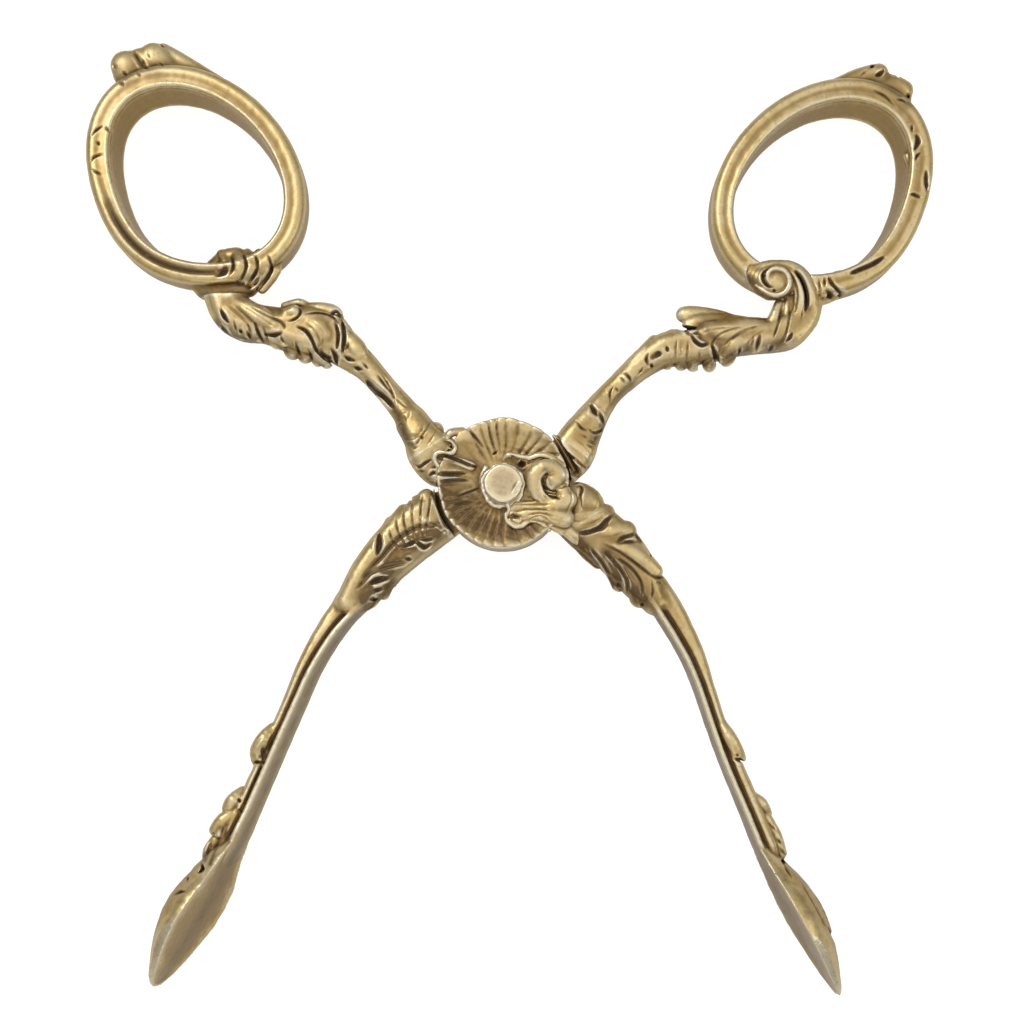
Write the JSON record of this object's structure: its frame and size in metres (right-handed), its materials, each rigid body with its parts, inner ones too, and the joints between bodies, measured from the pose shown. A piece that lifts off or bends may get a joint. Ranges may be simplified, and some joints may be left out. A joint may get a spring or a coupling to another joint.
{
  "type": "sugar nippers",
  "caption": "Scissor-action sugar nippers with two finger rings, leafy cast stems, a shell-covered lap pivot and spoon-shaped grips, lying open.",
  "frame": {"origin": "centre of the back lap disc's rear face, on the pivot axis", "axes": "+Z along the pivot axis towards the shell and the pin's head, +Y towards the finger rings, +X to the right seen from the front; the grips point to -Y"},
  "size_m": [0.0906, 0.0998, 0.0113],
  "materials": {
    "silver_gilt": "satin",
    "silver_gilt_shell": "satin",
    "silver_gilt_worn": "polished"
  },
  "bodies": {
    "back_lever": {"lap_boss_back": "silver_gilt", "finger_ring_right": "silver_gilt", "stem_right": "silver_gilt", "arm_left": "silver_gilt"},
    "front_lever": {"finger_ring_left": "silver_gilt", "stem_left": "silver_gilt", "lap_boss_front": "silver_gilt", "shell_boss": "silver_gilt_shell", "arm_right": "silver_gilt", "pivot_pin": "silver_gilt_worn", "pin_collar": "silver_gilt_worn"}
  },
  "joints": [
    {"name": "pivot", "type": "hinge", "parent": "back_lever", "child": "front_lever", "pos_m": [0, 0, 0], "axis": [0, 0, 1], "range_deg": [-64.5, 0]}
  ]
}
